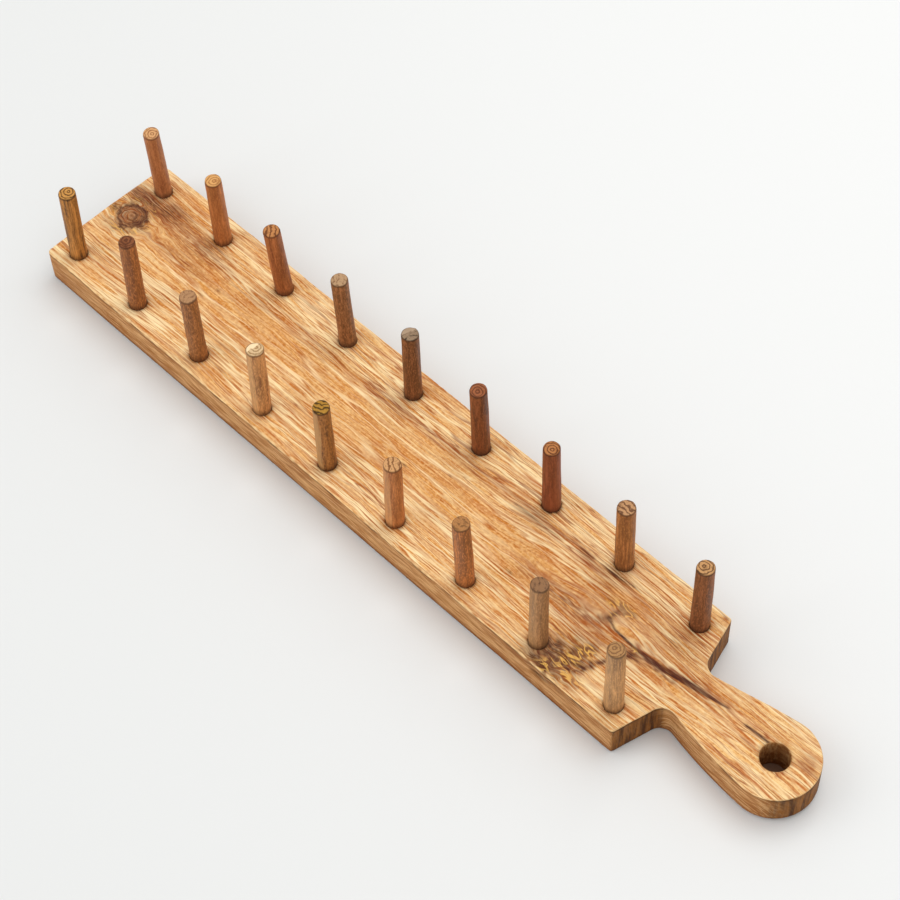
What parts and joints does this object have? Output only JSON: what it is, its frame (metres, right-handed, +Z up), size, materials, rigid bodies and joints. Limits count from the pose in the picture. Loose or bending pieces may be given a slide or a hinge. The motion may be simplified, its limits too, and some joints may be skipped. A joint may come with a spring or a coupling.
{
  "type": "peg loom",
  "caption": "Flat wooden peg loom: a paddle-shaped board with a holed handle and two rows of loose round pegs that lift out of blind sockets.",
  "frame": {"origin": "middle of the whole loom's footprint, on the board's underside", "axes": "+X along the board towards the handle, +Y across it towards the back row, +Z up out of the board"},
  "size_m": [0.612, 0.1036, 0.0867],
  "materials": {
    "board_wood": "brushed and oiled, satin",
    "peg_pale": "turned, matte",
    "peg_tan": "turned, satin",
    "peg_brown": "turned, satin",
    "peg_umber": "turned, satin",
    "peg_russet": "turned, satin"
  },
  "bodies": {
    "board": {"board": "board_wood"},
    "peg_front_1": {"peg_front_1": "peg_tan"},
    "peg_front_2": {"peg_front_2": "peg_brown"},
    "peg_front_3": {"peg_front_3": "peg_brown"},
    "peg_front_4": {"peg_front_4": "peg_pale"},
    "peg_front_5": {"peg_front_5": "peg_brown"},
    "peg_front_6": {"peg_front_6": "peg_tan"},
    "peg_front_7": {"peg_front_7": "peg_tan"},
    "peg_front_8": {"peg_front_8": "peg_pale"},
    "peg_front_9": {"peg_front_9": "peg_pale"},
    "peg_back_1": {"peg_back_1": "peg_tan"},
    "peg_back_2": {"peg_back_2": "peg_brown"},
    "peg_back_3": {"peg_back_3": "peg_brown"},
    "peg_back_4": {"peg_back_4": "peg_umber"},
    "peg_back_5": {"peg_back_5": "peg_umber"},
    "peg_back_6": {"peg_back_6": "peg_russet"},
    "peg_back_7": {"peg_back_7": "peg_russet"},
    "peg_back_8": {"peg_back_8": "peg_brown"},
    "peg_back_9": {"peg_back_9": "peg_umber"}
  },
  "joints": [
    {"name": "peg_front_1_lift", "type": "slide", "parent": "board", "child": "peg_front_1", "axis": [0.0262, 0.0175, 0.9995], "range_m": [0, 0.03]},
    {"name": "peg_front_2_lift", "type": "slide", "parent": "board", "child": "peg_front_2", "axis": [0, 0.0262, 0.9997], "range_m": [0, 0.03]},
    {"name": "peg_front_3_lift", "type": "slide", "parent": "board", "child": "peg_front_3", "axis": [0.0087, -0.0087, 0.9999], "range_m": [0, 0.03]},
    {"name": "peg_front_4_lift", "type": "slide", "parent": "board", "child": "peg_front_4", "axis": [0.0087, 0.0175, 0.9998], "range_m": [0, 0.03]},
    {"name": "peg_front_5_lift", "type": "slide", "parent": "board", "child": "peg_front_5", "axis": [0.0175, -0.0087, 0.9998], "range_m": [0, 0.03]},
    {"name": "peg_front_6_lift", "type": "slide", "parent": "board", "child": "peg_front_6", "axis": [0.0175, 0.0087, 0.9998], "range_m": [0, 0.03]},
    {"name": "peg_front_7_lift", "type": "slide", "parent": "board", "child": "peg_front_7", "axis": [-0.0175, -0.0087, 0.9998], "range_m": [0, 0.03]},
    {"name": "peg_front_8_lift", "type": "slide", "parent": "board", "child": "peg_front_8", "axis": [-0.0087, 0.0262, 0.9996], "range_m": [0, 0.03]},
    {"name": "peg_front_9_lift", "type": "slide", "parent": "board", "child": "peg_front_9", "axis": [-0.0174, 0.0175, 0.9997], "range_m": [0, 0.03]},
    {"name": "peg_back_1_lift", "type": "slide", "parent": "board", "child": "peg_back_1", "axis": [0.0262, -0.0349, 0.999], "range_m": [0, 0.03]},
    {"name": "peg_back_2_lift", "type": "slide", "parent": "board", "child": "peg_back_2", "axis": [0.0174, -0.0175, 0.9997], "range_m": [0, 0.03]},
    {"name": "peg_back_3_lift", "type": "slide", "parent": "board", "child": "peg_back_3", "axis": [-0.0174, -0.0523, 0.9985], "range_m": [0, 0.03]},
    {"name": "peg_back_4_lift", "type": "slide", "parent": "board", "child": "peg_back_4", "axis": [-0.0262, -0.0087, 0.9996], "range_m": [0, 0.03]},
    {"name": "peg_back_5_lift", "type": "slide", "parent": "board", "child": "peg_back_5", "axis": [0, 0.0087, 1], "range_m": [0, 0.03]},
    {"name": "peg_back_6_lift", "type": "slide", "parent": "board", "child": "peg_back_6", "axis": [-0.0087, -0.0087, 0.9999], "range_m": [0, 0.03]},
    {"name": "peg_back_7_lift", "type": "slide", "parent": "board", "child": "peg_back_7", "axis": [0, -0.0087, 1], "range_m": [0, 0.03]},
    {"name": "peg_back_8_lift", "type": "slide", "parent": "board", "child": "peg_back_8", "axis": [-0.0087, -0.0087, 0.9999], "range_m": [0, 0.03]},
    {"name": "peg_back_9_lift", "type": "slide", "parent": "board", "child": "peg_back_9", "axis": [-0.0174, 0.0175, 0.9997], "range_m": [0, 0.03]}
  ]
}
